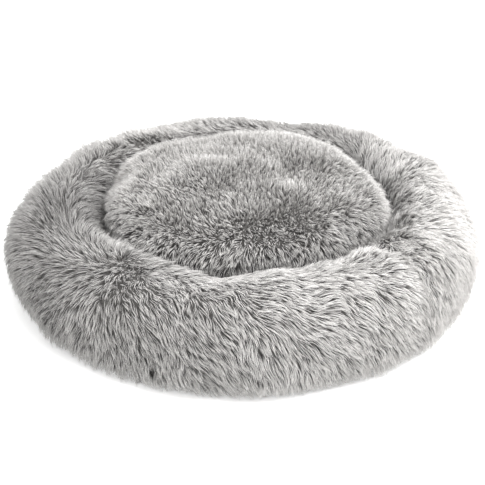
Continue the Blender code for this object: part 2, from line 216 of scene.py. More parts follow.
def new_material(name, colour, roughness, ior=1.5, metallic=0.0, **inputs):
    """An empty material of one shader, and its tree and shader."""
    made = bpy.data.materials.new(name)
    made.use_nodes = True
    made.diffuse_color = (*colour, 1.0)
    tree = made.node_tree
    shader = tree.nodes["Principled BSDF"]
    values = {"Base Color": (*colour, 1.0), "Roughness": roughness, "IOR": ior, "Metallic": metallic}
    values.update({socket.replace("_", " "): value for socket, value in inputs.items()})
    for socket, value in values.items():
        shader.inputs[socket].default_value = value
    return made, tree, shader


def settings():
    """The values of the pile, the cloths and the zips."""
    scene = bpy.context.scene
    return scene.pet_bed_pile, scene.pet_bed_cloths, scene.pet_bed_zips


def add_pattern(tree, kind, **inputs):
    """A texture node that lies in the object's own coordinates."""
    place = add_node(tree, "ShaderNodeTexCoord")
    options = {name: inputs.pop(name) for name in ("feature", "bands_direction") if name in inputs}
    return add_node(tree, kind, {"Vector": place.outputs["Object"]}, inputs, **options)


def shaded(tree, shader, height, colour, dark, light, strength, depth):
    """Colours a shader from dark to light shares of a colour by a pattern's height, and raises it."""
    shade = add_node(tree, "ShaderNodeValToRGB", {0: height})
    for element, share in zip(shade.color_ramp.elements, (dark, light)):
        element.color = (*[c * share for c in colour], 1.0)
    bump = add_node(tree, "ShaderNodeBump", {"Height": height}, {"Strength": strength, "Distance": depth})
    tree.links.new(shade.outputs[0], shader.inputs["Base Color"])
    tree.links.new(bump.outputs[0], shader.inputs["Normal"])


def glossed(tree, shader, height, low, high):
    """Varies a shader's roughness from low to high by a pattern's height."""
    gloss = add_node(tree, "ShaderNodeMapRange", {0: height}, {3: low, 4: high})
    tree.links.new(gloss.outputs[0], shader.inputs["Roughness"])


@functools.cache
def polyester_pile():
    """Faux fur: textured polyester fibre, dyed grey and frosted at the tip. Each strand goes from a dark
    root to a pale tip, and strands differ in tone, a little at random and more by place, where the tone is
    painted shade and light. U of its map is the tone, V its length."""
    pile = settings()[0]
    made, tree, shader = new_material(
        "polyester_pile", pile.tip_colour, 0.8, ior=1.54, Specular_IOR_Level=0.2
    )
    mapping = add_node(tree, "ShaderNodeUVMap", uv_map="OFBake")
    parts = add_node(tree, "ShaderNodeSeparateXYZ", {0: mapping.outputs[0]})
    along = add_node(tree, "ShaderNodeValToRGB", {0: parts.outputs[1]})
    ramp = along.color_ramp
    ramp.elements[0].color = (*pile.root_colour, 1.0)
    ramp.elements[1].color = (*pile.tip_colour, 1.0)
    for place, colour in ((0.24, pile.lower_colour), (0.52, pile.upper_colour)):
        ramp.elements.new(place).color = (*colour, 1.0)
    # U scales the ramp: the strands' own random tone and the painted shade and light set by place
    tone = add_node(tree, "ShaderNodeMapRange", {0: parts.outputs[0]}, {3: 0.52, 4: 1.14})
    links = {0: along.outputs[0], "Scale": tone.outputs[0]}
    toned = add_node(tree, "ShaderNodeVectorMath", links, operation="SCALE")
    tree.links.new(toned.outputs[0], shader.inputs["Base Color"])
    return made


@functools.cache
def knitted_backing():
    """Warp-knitted polyester ground of the plush, dyed darker than its pile: rows of small loops."""
    cloths = settings()[1]
    made, tree, shader = new_material("knitted_backing", cloths.backing_colour, 0.9, Sheen_Weight=0.2)
    loops = add_pattern(tree, "ShaderNodeTexVoronoi", feature="SMOOTH_F1", Scale=1 / (1.6 * MM))
    shaded(tree, shader, loops.outputs["Distance"], cloths.backing_colour, 1.15, 0.6, 0.5, 0.4 * MM)
    return made


@functools.cache
def spunbond_liner():
    """Spunbond polypropylene, thermally bonded: white, matt, with a fine random web of fibres."""
    cloths = settings()[1]
    made, tree, shader = new_material("spunbond_liner", cloths.liner_colour, 0.8, ior=1.49)
    web = add_pattern(tree, "ShaderNodeTexNoise", Scale=1 / (2.5 * MM), Detail=5.0, Distortion=1.5)
    shaded(tree, shader, web.outputs["Fac"], cloths.liner_colour, 0.8, 1.0, 0.3, 0.3 * MM)
    return made


@functools.cache
def hollow_fibre():
    """Carded hollow polyester fibre: bright white wadding with a lofty, tangled surface."""
    cloths = settings()[1]
    made, tree, shader = new_material("hollow_fibre", cloths.fibre_colour, 0.95, Sheen_Weight=0.4)
    tangle = add_pattern(
        tree, "ShaderNodeTexNoise", Scale=1 / (12 * MM), Detail=8.0, Roughness=0.7, Distortion=2.0
    )
    shaded(tree, shader, tangle.outputs["Fac"], cloths.fibre_colour, 0.7, 1.0, 0.8, 2 * MM)
    return made


@functools.cache
def oxford_cloth():
    """Oxford polyester, plain-woven and backed: crossed threads that catch the light in turn."""
    cloths = settings()[1]
    made, tree, shader = new_material("oxford_cloth", cloths.base_colour, 0.7, ior=1.54, Sheen_Weight=0.1)
    # Drawn at four threads to a rib, so that the weave shows
    bands = {"Scale": WAVE_SCALE / (cloths.thread_spacing * 4), "Distortion": 0.3, "Detail": 1.0}
    warp, weft = (
        add_pattern(tree, "ShaderNodeTexWave", bands_direction=axis, **bands) for axis in ("X", "Y")
    )
    links = {0: warp.outputs["Fac"], 1: weft.outputs["Fac"]}
    crossed = add_node(tree, "ShaderNodeMath", links, operation="MULTIPLY")
    shaded(tree, shader, crossed.outputs[0], cloths.base_colour, 0.6, 1.35, 0.5, 0.4 * MM)
    return made


@functools.cache
def vinyl_dots():
    """Soft PVC plastisol, printed on in dots and cured: dark, slightly shiny and grippy."""
    made, tree, shader = new_material("vinyl_dots", settings()[1].dot_colour, 0.42, ior=1.53)
    skin = add_pattern(tree, "ShaderNodeTexNoise", Scale=1 / (1.2 * MM), Detail=3.0)
    glossed(tree, shader, skin.outputs["Fac"], 0.32, 0.55)
    return made


@functools.cache
def woven_tape():
    """Polyester zip tape, narrow-woven in a herringbone: matt, with fine ribs along its length."""
    zips = settings()[2]
    made, tree, shader = new_material("woven_tape", zips.tape_colour, 0.82, ior=1.54)
    ribs = add_pattern(
        tree, "ShaderNodeTexWave", bands_direction="Z", Scale=WAVE_SCALE / (1.2 * MM), Distortion=0.4
    )
    shaded(tree, shader, ribs.outputs["Fac"], zips.tape_colour, 0.72, 1.0, 0.4, 0.15 * MM)
    return made


@functools.cache
def nylon_coil():
    """Nylon monofilament, drawn, dyed and wound into a coil: smooth with a soft shine."""
    made, tree, shader = new_material("nylon_coil", settings()[2].coil_colour, 0.38, ior=1.53)
    cloud = add_pattern(tree, "ShaderNodeTexNoise", Scale=1 / (6 * MM), Detail=2.0)
    glossed(tree, shader, cloud.outputs["Fac"], 0.3, 0.48)
    return made


@functools.cache
def nickel_zinc():
    """Zinc alloy, die-cast and barrel-plated with nickel: bright metal, dulled by tumbling and handling."""
    made, tree, shader = new_material("nickel_zinc", settings()[2].metal_colour, 0.28, metallic=1.0)
    wear = add_pattern(tree, "ShaderNodeTexNoise", Scale=1 / (1.5 * MM), Detail=6.0, Roughness=0.65)
    glossed(tree, shader, wear.outputs["Fac"], 0.2, 0.42)
    return made


@functools.cache
def satin_label():
    """Woven polyester satin: long floats across the label give it a silky shine."""
    cloths = settings()[1]
    made, tree, shader = new_material("satin_label", cloths.label_colour, 0.45, ior=1.54, Sheen_Weight=0.3)
    floats = add_pattern(
        tree, "ShaderNodeTexWave", bands_direction="Z", Scale=WAVE_SCALE / (0.8 * MM), Distortion=0.5
    )
    shaded(tree, shader, floats.outputs["Fac"], cloths.label_colour, 0.86, 1.0, 0.3, 0.1 * MM)
    return made


# ---------------------------------------------------------------- shapes


def unit(vectors):
    return vectors / np.maximum(np.linalg.norm(vectors, axis=-1, keepdims=True), 1e-12)


def rows(columns):
    return np.asarray(columns)[..., None]


def ripple(points, size, seed):
    """Smooth noise of about unit strength, whose swells are about size metres across."""
    random = np.random.default_rng(seed)
    waves = unit(random.normal(size=(14, 3))) * random.uniform(0.6, 1.4, (14, 1)) * math.pi / size
    return np.sin(points @ waves.T + random.uniform(0, 2 * math.pi, 14)).sum(-1) / math.sqrt(7)


def through(stops, step):
    """Evenly spaced values that pass through every one of the stops."""
    values = [stops[0]]
    for start, end in zip(stops, stops[1:]):
        count = max(1, math.ceil((end - start) / step - 1e-6))
        values += [start + (end - start) * i / count for i in range(1, count)] + [end]
    return np.array(values)


def oval(angles, up, down, crown, foot):
    """Shares of the half width and heights over the widest level at section angles."""
    sine, cosine = np.sin(np.radians(angles)), np.cos(np.radians(angles))
    fullness = np.where(sine >= 0, crown, foot)
    height = np.sign(sine) * np.where(sine >= 0, up, down) * np.abs(sine) ** (2 / fullness)
    return np.sign(cosine) * np.abs(cosine) ** (2 / fullness), height


def well_radius(height):
    """How far the cushion may reach at a height, beside the ring's inner wall."""
    share = np.clip(height / RING_MIDDLE - 1, 0, 1)
    wall = RING_HALF_WIDTH * (1 - share**RING_CREST_FULLNESS) ** (1 / RING_CREST_FULLNESS)
    return RING_RADIUS - wall - WELL_GAP


def foot_angle(drop, down, foot):
    """Section angle of a point this far under the widest level."""
    return -math.degrees(math.asin(min(1.0, drop / down) ** (foot / 2)))


def turned(radius, height, azimuths):
    """A grid of points: a profile turned to each azimuth."""
    angle = np.radians(azimuths)[:, None]
    flat = np.ones((len(azimuths), 1))
    return np.stack([np.cos(angle) * radius, np.sin(angle) * radius, flat * height], axis=-1)


def azimuth_of(points):
    return np.degrees(np.arctan2(points[..., 1], points[..., 0])) % WHOLE_TURN


def turn_gap(azimuths, target):
    """Degrees from each azimuth to the target, either way round."""
    return np.abs((azimuths - target + 180) % WHOLE_TURN - 180)


def grid_normals(grid, closed_rows):
    """Outward normals of a grid that is closed in azimuth; rows at the axis look straight up or down."""
    around = np.roll(grid, -1, 0) - np.roll(grid, 1, 0)
    if closed_rows:
        along = np.roll(grid, -1, 1) - np.roll(grid, 1, 1)
    else:
        along = np.gradient(grid, axis=1)
    normals = unit(np.cross(around, along))
    if not closed_rows:
        normals[:, 0], normals[:, -1] = (0, 0, -1), (0, 0, 1)
    return normals


def grid_faces(turns, count, closed_rows, kept=None, poles=(0, -1)):
    """Faces of a grid that is closed in azimuth, as four corners each. Unless its rows are closed too, the
    corners on its rows at the axis, the poles, repeat."""
    i, j = np.meshgrid(np.arange(turns), np.arange(count if closed_rows else count - 1), indexing="ij")
    if kept is not None:
        i, j = i[kept], j[kept]
    i, j = i.ravel(), j.ravel()
    here, after, j_next = i * count, (i + 1) % turns * count, (j + 1) % count
    corners = np.stack([here + j, after + j, after + j_next, here + j_next], axis=1)
    for pole in () if closed_rows else poles:
        corners[corners % count == pole % count] = pole % count
    return corners


def link(name, data, material, body):
    made = bpy.data.objects.new(name, data)
    bpy.context.scene.collection.objects.link(made)
    data.materials.append(material)
    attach(made, body)
    return made


def cloth_mesh(name, points, corners):
    """A smooth mesh from points and faces of four corners, without the points that no face uses."""
    used, compact = np.unique(corners, return_inverse=True)
    faces = [list(dict.fromkeys(face)) for face in compact.reshape(corners.shape).tolist()]
    data = bpy.data.meshes.new(name)
    data.from_pydata(points[used].tolist(), [], [face for face in faces if len(face) > 2])
    data.update()
    data.shade_smooth()
    return data


def closed_mesh(data, weld=0.0):
    """Joins the points of a closed mesh that lie within weld of each other, and faces it outwards."""
    shell = bmesh.new()
    shell.from_mesh(data)
    if weld:
        bmesh.ops.remove_doubles(shell, verts=shell.verts, dist=weld)
    bmesh.ops.recalc_face_normals(shell, faces=shell.faces)
    shell.to_mesh(data)
    shell.free()
    return data


def apply_modifiers(made):
    """Turns an object's modifiers into its mesh."""
    bpy.context.view_layer.update()
    final = bpy.data.meshes.new_from_object(made.evaluated_get(bpy.context.evaluated_depsgraph_get()))
    made.modifiers.clear()
    old, made.data = made.data, final
    bpy.data.meshes.remove(old)
    return made


def cloth_piece(name, grid, corners, material, body):
    """A piece of cloth over some faces of a grid."""
    return link(name, cloth_mesh(name, grid.reshape(-1, 3), corners), material, body)


def thicken(made, thickness, offset=-1.0):
    solid = made.modifiers.new("thickness", "SOLIDIFY")
    solid.thickness, solid.offset = thickness, offset
    return apply_modifiers(made)


def inflate(grid, closed_rows, held, pressure, cap):
    """Blows up a stuffed cover by cloth simulation, held along its seams. Returns the grid of its points,
    none moved by more than cap."""
    turns, count = grid.shape[:2]
    corners = grid_faces(turns, count, closed_rows)
    used, compact = np.unique(corners, return_inverse=True)
    flat = grid.reshape(-1, 3)
    data = cloth_mesh("stuffed_form", flat, corners)
    made = bpy.data.objects.new("stuffed_form", data)
    bpy.context.scene.collection.objects.link(made)
    seams = made.vertex_groups.new(name="seams")
    for index, hold in enumerate(held.reshape(-1)[used].tolist()):
        if hold > 0.01:
            seams.add([index], hold, "REPLACE")
    cloth = made.modifiers.new("cloth", "CLOTH")
    cloth.settings.quality = 6
    cloth.settings.mass = 0.35
    cloth.settings.tension_stiffness = cloth.settings.compression_stiffness = 12
    cloth.settings.bending_stiffness = 1.5
    cloth.settings.use_pressure = True
    cloth.settings.uniform_pressure_force = pressure
    cloth.settings.vertex_group_mass = "seams"
    cloth.settings.effector_weights.gravity = 0.0
    cloth.collision_settings.use_collision = False
    scene = bpy.context.scene
    for step in range(1, 21):
        scene.frame_set(step)
    evaluated = made.evaluated_get(bpy.context.evaluated_depsgraph_get())
    blown = np.zeros(len(used) * 3, np.float32)
    evaluated.data.vertices.foreach_get("co", blown)
    scene.frame_set(1)
    bpy.data.objects.remove(made)
    moved = flat.copy()
    moved[used] = blown.reshape(-1, 3)
    if not closed_rows:
        for row in (0, count - 1):
            moved[np.arange(turns) * count + row] = moved[row]
    shift = moved - flat
    length = np.linalg.norm(shift, axis=1, keepdims=True)
    shift *= np.minimum(1.0, cap / np.maximum(length, 1e-9))
    return (flat + shift).reshape(grid.shape)


def past_zip(points, zip_line):
    """Metres along the cover from each point to the nearer end of a zip, less than 0 beside the zip."""
    azimuths = azimuth_of(points)
    turn = np.maximum(zip_line["start"] - azimuths, azimuths - zip_line["end"])
    return turn * math.radians(zip_line["radius"])


def outside_of(points, zip_line, depth):
    """Which points lie on the side of the cover that has the zip."""
    return np.hypot(points[..., 0], points[..., 1]) > zip_line["radius"] - depth


def round_zip(grid, zip_line, reach):
    """How near each point is to a zip: 1 beside it, 0 from reach away."""
    above = np.abs(grid[..., 2] - zip_line["height"]) - zip_line["half"]
    gap = np.hypot(np.maximum(past_zip(grid, zip_line), 0), np.maximum(above, 0))
    near = 1 - np.clip(gap / reach, 0, 1)
    return near * near * (3 - 2 * near) * outside_of(grid, zip_line, 0.03)


def meet_tape(grid, zip_line):
    """Draws a cover out or in to the tapes along its zip."""
    near = rows(round_zip(grid, zip_line, 0.016))
    radius = rows(np.hypot(grid[..., 0], grid[..., 1]))
    wanted = grid.copy()
    wanted[..., :2] *= (zip_line["radius"] + SKIN_THICKNESS + 0.0002) / np.maximum(radius, 1e-6)
    return grid * (1 - near) + wanted * near


def slot_angles(drop, half, down, foot):
    """Section angles of the edges of a slot whose middle is this far under the widest level. They lap
    over the zip's tapes."""
    return [foot_angle(drop + edge, down, foot) for edge in (half - TAPE_LAP, TAPE_LAP - half)]


@functools.cache
def ring_layout():
    """Azimuths and section angles of the ring's grid."""
    zip_line = ZIPS["ring"]
    down = RING_MIDDLE - CRUSHED_DEPTH
    foot = foot_angle(RING_MIDDLE - 0.0045, down, RING_FOOT_FULLNESS)
    drop = RING_MIDDLE - RING_SAG - zip_line["height"]
    low, high = slot_angles(drop, zip_line["half"], down, RING_FOOT_FULLNESS)
    front, back = RING_SEAMS
    azimuths = through([front, zip_line["start"], zip_line["end"], back, front + WHOLE_TURN], 1.5)[:-1]
    angles = through([foot, low, high, 0, 90, 180, 180 - foot, 360 + foot], 6.0)[:-1]
    return azimuths, angles, (foot, low, high)


def ring_seam_gap(points):
    """Metres along the ring from each point to the nearer of its two seams."""
    azimuths = azimuth_of(points)
    gap = np.minimum(*(turn_gap(azimuths, seam % WHOLE_TURN) for seam in RING_SEAMS))
    return np.radians(gap) * RING_RADIUS


@functools.cache
def ring_form():
    """The ring's skin: its oval section blown up between the seams, with the lumps of its filling."""
    azimuths, angles, (foot, low, high) = ring_layout()
    up, down = RING_MIDDLE - RING_SKIN_DEPTH, RING_MIDDLE - CRUSHED_DEPTH
    share, height = oval(angles, up, down, RING_CREST_FULLNESS, RING_FOOT_FULLNESS)
    radius = RING_RADIUS + (RING_HALF_WIDTH - RING_SKIN_DEPTH - RING_SAG) * share
    grid = turned(radius, RING_MIDDLE - RING_SAG + height, azimuths)
    normals = grid_normals(grid, True)
    free = np.clip((grid[..., 2] - 0.012) / 0.05, 0, 1)  # nothing swells where the ring stands
    zip_line = ZIPS["ring"]
    near_zip = round_zip(grid, zip_line, 0.03)
    pinch = np.exp(-((ring_seam_gap(grid) / 0.011) ** 2) / 2)
    grid = grid - normals * (0.009 * pinch * free)[..., None]
    held = np.maximum(np.maximum(pinch > 0.9, near_zip > 0.6), grid[..., 2] < 0.014).astype(float)
    grid = inflate(grid, True, held, 3.0, 0.006)
    normals = grid_normals(grid, True)
    lumps = 0.0036 * ripple(grid, 0.13, 11) + 0.0016 * ripple(grid, 0.05, 12) - 0.001
    free = free * (1 - near_zip) * (1 - 0.5 * pinch)
    grid = grid + normals * rows(np.clip(lumps, -0.012, 0.007) * free)
    grid = meet_tape(grid, zip_line)
    grid[..., 2] = np.maximum(grid[..., 2], BASE_TOP + 0.0012)
    return grid


@functools.cache
def cushion_layout():
    """Azimuths and section angles of the cushion's grid, from under its middle to its crown."""
    zip_line = ZIPS["cushion"]
    down = CUSHION_WIDEST - CUSHION_BOTTOM - CRUSHED_DEPTH
    seam = foot_angle(CUSHION_WIDEST - CUSHION_SEAM, down, CUSHION_FOOT_FULLNESS)
    drop = CUSHION_WIDEST - zip_line["height"]
    low, high = slot_angles(drop, zip_line["half"], down, CUSHION_FOOT_FULLNESS)
    azimuths = through([zip_line["start"], zip_line["end"], zip_line["start"] + WHOLE_TURN], 2.0)[:-1]
    angles = through([-90, seam, low, high, 0, 90], 4.5)
    return azimuths, angles, (seam, low, high)


@functools.cache
def cushion_form():
    """The cushion's skin, full and domed, with the lumps of its filling. Its first row is at the axis."""
    azimuths, angles, (seam, low, high) = cushion_layout()
    up = CUSHION_TOP - CUSHION_WIDEST - CUSHION_SKIN_DEPTH
    down = CUSHION_WIDEST - CUSHION_BOTTOM - CRUSHED_DEPTH
    share, height = oval(angles, up, down, CUSHION_CROWN_FULLNESS, CUSHION_FOOT_FULLNESS)
    flat = np.where(angles < 0, CUSHION_FLAT_RADIUS, 0.0)
    widest = np.where(angles < 0, WELL_RADIUS - WELL_GAP, SHOULDER_RADIUS)
    radius = flat + (widest - CUSHION_SIDE_DEPTH - flat) * share
    radius = np.minimum(radius, well_radius(CUSHION_WIDEST + height) - CUSHION_SIDE_DEPTH)
    inner = np.linspace(0, radius[0], 8)[:-1]
    radius = np.concatenate([inner, radius])
    height = np.concatenate([np.full(len(inner), height[0]), height])
    radius[-1] = 0.0
    grid = turned(radius, CUSHION_WIDEST + height, azimuths)
    free = np.clip((grid[..., 2] - 0.03) / 0.06, 0, 1)
    near_zip = round_zip(grid, ZIPS["cushion"], 0.03)
    seam_row = np.exp(-(((grid[..., 2] - CUSHION_SEAM) / 0.006) ** 2) / 2)
    held = np.maximum(np.maximum(near_zip > 0.6, seam_row > 0.7), grid[..., 2] < 0.012).astype(float)
    grid = inflate(grid, False, held, 2.5, 0.005)
    normals = grid_normals(grid, False)
    lumps = 0.0040 * ripple(grid, 0.085, 21) + 0.0014 * ripple(grid, 0.04, 22) - 0.001
    grid = grid + normals * rows(np.clip(lumps, -0.012, 0.005) * free * (1 - near_zip))
    return meet_tape(grid, ZIPS["cushion"])


# ---------------------------------------------------------------- pile

STRAND_STEPS = 3
STRAND_SIDES = 3
STRAND_TAPER = (1.0, 0.86, 0.6)
WISP_SPACING = 0.0046  # between the wisps that strands gather into
LOCK_SPACING = 0.0105  # between the looser locks that wisps gather into
TIP_SPREAD = 0.0011  # how far tips stray from their wisp
FLOOR_GAP = 0.0012


def scatter(points, corners, normals, weight, density, random):
    """Random places on a skin, as many to the square metre as density times weight, and its normals there."""
    triangles = np.concatenate([corners[:, [0, 1, 2]], corners[:, [0, 2, 3]]])
    a, b, c = (points[triangles[:, k]] for k in range(3))
    areas = np.linalg.norm(np.cross(b - a, c - a), axis=1) / 2
    areas *= weight((a + b + c) / 3, unit(np.cross(b - a, c - a) + 1e-12))
    count = int(areas.sum() * density)
    picked = np.sort(random.choice(len(triangles), count, p=areas / areas.sum()))
    u, v = random.random((2, count))
    over = u + v > 1
    u, v = np.where(over, 1 - u, u), np.where(over, 1 - v, v)
    u, v = rows(u), rows(v)
    ends = [normals[triangles[picked, k]] for k in range(3)]
    places = a[picked] + u * (b[picked] - a[picked]) + v * (c[picked] - a[picked])
    return places, unit(ends[0] * (1 - u - v) + ends[1] * u + ends[2] * v)


def swung(directions, normals, angles):
    """Directions in the skin, swung round its normals."""
    directions = unit(directions - normals * rows((directions * normals).sum(1)))
    return directions * rows(np.cos(angles)) + np.cross(normals, directions) * rows(np.sin(angles))


def centre_lines(roots, normals, groom):
    """Centre lines of strands, which leave the skin steeply and bend over towards the flow, and how
    readily they gather into wisps."""
    flow, lean_root, lean_tip, length, droop, gather = groom(roots, normals)
    lines = [roots]
    for step in range(STRAND_STEPS):
        share = (step + 0.5) / STRAND_STEPS
        lean = lean_root + (lean_tip - lean_root) * share
        heading = normals * rows(np.cos(lean)) + flow * rows(np.sin(lean))
        heading[:, 2] -= droop * share
        lines.append(lines[-1] + unit(heading) * rows(length / STRAND_STEPS))
    return np.stack(lines, axis=1), gather


def gathered(lines, guides, hold):
    """Strands drawn towards the nearest guide, more so nearer their tips, as wisps."""
    tree = kdtree.KDTree(len(guides))
    for index, guide in enumerate(guides[:, 0]):
        tree.insert(guide, index)
    tree.balance()
    nearest = np.array([tree.find(root)[1] for root in lines[:, 0]])
    pull = hold[:, None] * np.linspace(0, 1, lines.shape[1]) ** 1.4
    return lines + (guides[nearest] - lines) * rows(pull), nearest


def strand_mesh(name, lines, widths, tones):
    """Tapered closed strands round their centre lines, each mapped by tone across and length along."""
    count = len(lines)
    heading = unit(np.gradient(lines, axis=1))
    side = unit(np.cross(heading, np.roll(heading, 1, axis=2) + 0.01))
    other = np.cross(heading, side)
    turns = 2 * math.pi * np.arange(STRAND_SIDES) / STRAND_SIDES
    half = widths[:, None] / 2 * np.array(STRAND_TAPER)
    round_line = side[:, :-1, None] * rows(np.cos(turns)) + other[:, :-1, None] * rows(np.sin(turns))
    rings = lines[:, :-1, None] + half[..., None, None] * round_line
    points = np.concatenate([rings.reshape(count, -1, 3), lines[:, -1:]], axis=1)
    per_strand = points.shape[1]
    triangles = [(0, 2, 1)]
    for ring in range(STRAND_STEPS - 1):
        for k in range(STRAND_SIDES):
            a, b = ring * STRAND_SIDES + k, ring * STRAND_SIDES + (k + 1) % STRAND_SIDES
            triangles += [(a, b, b + STRAND_SIDES), (a, b + STRAND_SIDES, a + STRAND_SIDES)]
    last = (STRAND_STEPS - 1) * STRAND_SIDES
    triangles += [(last + k, last + (k + 1) % STRAND_SIDES, per_strand - 1) for k in range(STRAND_SIDES)]
    triangles = np.array(triangles)
    faces = (triangles[None] + (np.arange(count) * per_strand)[:, None, None]).reshape(-1, 3)
    data = bpy.data.meshes.new(name)
    data.vertices.add(count * per_strand)
    data.vertices.foreach_set("co", points.reshape(-1).astype(np.float32))
    data.loops.add(faces.size)
    data.loops.foreach_set("vertex_index", faces.reshape(-1).astype(np.int32))
    data.polygons.add(len(faces))
    data.polygons.foreach_set("loop_start", np.arange(0, faces.size, 3, dtype=np.int32))
    data.update(calc_edges=True)
    data.shade_smooth()
    across = np.append(np.tile(np.linspace(-0.004, 0.004, STRAND_SIDES), STRAND_STEPS), 0.0)
    along = np.append(np.repeat(np.arange(STRAND_STEPS) / STRAND_STEPS, STRAND_SIDES), 1.0)
    u = np.clip(tones, 0.006, 0.994)[:, None] + across
    v = np.broadcast_to(0.002 + 0.996 * along, u.shape)
    spots = np.stack([u, v], axis=-1).reshape(-1, 2)
    layer = data.uv_layers.new(name="OFBake")
    layer.uv.foreach_set("vector", spots[faces.reshape(-1)].reshape(-1).astype(np.float32))
    return data


def grow_pile(name, skin, coat, density, body, sectors, seed):
    """Pile on a cover, cut into sectors so that no piece grows too heavy. The skin is its grid, whether the
    grid's rows are closed and which faces are kept; the coat is how strands lie, where and in what tones, the
    tones by place being painted shade and light."""
    grid, closed_rows, kept = skin
    groom, weight, tone = coat
    random = np.random.default_rng(seed)
    points = grid.reshape(-1, 3)
    normals = grid_normals(grid, closed_rows).reshape(-1, 3)
    corners = grid_faces(*grid.shape[:2], closed_rows, kept)
    (roots, facing), wisps, locks = (
        scatter(points, corners, normals, weight, each, random)
        for each in (density, 1 / WISP_SPACING**2, 1 / LOCK_SPACING**2)
    )
    guides, gather = centre_lines(*wisps, groom)
    hold = random.uniform(0.05, 0.5, len(guides)) * gather
    guides, _ = gathered(guides, centre_lines(*locks, groom)[0], hold)
    lines, gather = centre_lines(roots, facing, groom)
    count = len(lines)
    spread = random.normal(size=(count, 1, 3)) * TIP_SPREAD * rows(np.linspace(0, 1, STRAND_STEPS + 1))
    hold = random.uniform(0.35, 0.9, count) * gather
    lines, nearest = gathered(lines, guides, hold)
    lines += spread
    over_base = np.hypot(lines[..., 0], lines[..., 1]) < BASE_RADIUS + 0.002
    lines[..., 2] = np.maximum(lines[..., 2], np.where(over_base, BASE_TOP + 0.0007, FLOOR_GAP))
    tones = 0.08 * random.normal(size=count) + 0.06 * random.normal(size=len(guides))[nearest]
    # tone() adds painted shade and light by place to each strand's own random tone
    tones = np.clip(tone(roots) + tones, 0.01, 0.99)
    widths = settings()[0].strand_width * random.uniform(0.75, 1.25, count)
    sector = (azimuth_of(lines[:, 0]) / WHOLE_TURN * sectors).astype(int) % sectors
    for index in range(sectors):
        mine = sector == index
        data = strand_mesh(f"{name}_{index + 1}", lines[mine], widths[mine], tones[mine])
        link(f"{name}_{index + 1}", data, polyester_pile(), body)


def clear_of_zip(roots, zip_line):
    """How long a strand may be beside a zip, in metres, so that it stays out of the run of its slider."""
    past_end = past_zip(roots, zip_line)
    above = roots[:, 2] - zip_line["height"] - zip_line["half"]
    below = -2 * zip_line["half"]
    outside = outside_of(roots, zip_line, 0.02)
    over_zip = outside & (past_end < 0.02) & (above > below)
    at_end = outside & (past_end > 0) & (above < 0.004) & (above > below - 0.004)
    over_limit = np.where(over_zip, 0.004 + np.maximum(above, 0) * 0.9, 1.0)
    return np.minimum(over_limit, np.where(at_end, 0.001 + past_end * 0.8, 1.0))


# How the pile lies at the ring's crest, by azimuth: its share along the ring, how flat its tips lie, its
# share of the density and its tone, which is painted shade and light: pale on the right and the front, dark
# on the left, away from the key light, and on the back right rim
CREST_AZIMUTHS = (0, 30, 60, 90, 120, 150, 190, 215, 232, 244, 262, 300, 313, 317, 332, 346)
CREST_FLOW = (0.0, 0.3, 0.7, 0.9, 0.5, -0.1, -0.2, -0.4, 0.0, 1.3, 1.7, 1.5, 1.4, -0.5, -0.3, 0.0)
CREST_LEAN = (84, 82, 82, 82, 62, 34, 22, 26, 50, 76, 86, 86, 86, 82, 84, 84)
CREST_SHARE = (1.25, 1.2, 1.1, 1.0, 0.95, 0.8, 0.62, 0.66, 0.8, 0.9, 1.0, 1.0, 1.0, 1.0, 1.1, 1.2)
# Tone by azimuth is painted shade and light: pale on the right and front, dark on the left and at the back
# right rim
CREST_PAINTED_SHADE_TONE = (0.9, 0.68, 0.45, 0.5, 0.78, 0.5, 0.1, 0.3, 0.48, 0.56, 0.74, 0.8, 0.8, 0.8, 0.86, 0.95)
# The same over the inner slope, and by section angle
WELL_FLOW = (0.45, 0.3, -0.2, -0.5, -0.6, -0.6, -0.6, -0.6, -0.6, -0.6, -0.6, -0.5, -0.2, 0.1, 0.3, 0.4)
ALONG_SECTIONS = (-70, 0, 40, 90, 140, 180)
ALONG_SHARES = (0.3, 0.5, 0.85, 1.0, 0.6, 0.2)

# Places where the pile parts and shows its dark roots, as azimuth and section angle
RING_PARTINGS = ((205, -8), (249, -22), (273, -20), (292, -10), (20, 40), (336, -2), (178, -20), (235, 34))
PARTING_REACH = 0.0065


def ring_place(azimuth, angle):
    """A point of the ring's skin."""
    azimuths, angles, _ = ring_layout()
    row = int(np.argmin(np.abs(angles - angle)))
    return ring_form()[int(np.argmin(turn_gap(azimuths % WHOLE_TURN, azimuth))), row]


def parted(points, flow, place):
    """Flow that turns away from a place where the pile parts."""
    away = points - place
    near = np.exp(-((away**2).sum(1)) / (2 * PARTING_REACH**2))
    return flow + unit(away) * rows(1.5 * near)


def ring_section_angle(points):
    """Section angle of each point of the ring: 0 outside, 90 at the crest, 180 inside."""
    reach = np.hypot(points[:, 0], points[:, 1]) - RING_RADIUS
    section = np.degrees(np.arctan2(points[:, 2] - RING_MIDDLE, reach))
    return np.where(section < -120, section + WHOLE_TURN, section)


def by_azimuth(points, values):
    """Values given at the crest's azimuths, in between them at each point."""
    return np.interp(azimuth_of(points), CREST_AZIMUTHS, values, period=WHOLE_TURN)


def cover_directions(points, normals):
    """Directions round the bed and away from its crown, in a cover's skin."""
    turn = np.radians(azimuth_of(points))
    around = np.stack([-np.sin(turn), np.cos(turn), np.zeros(len(points))], axis=1)
    return around, np.cross(around, normals)


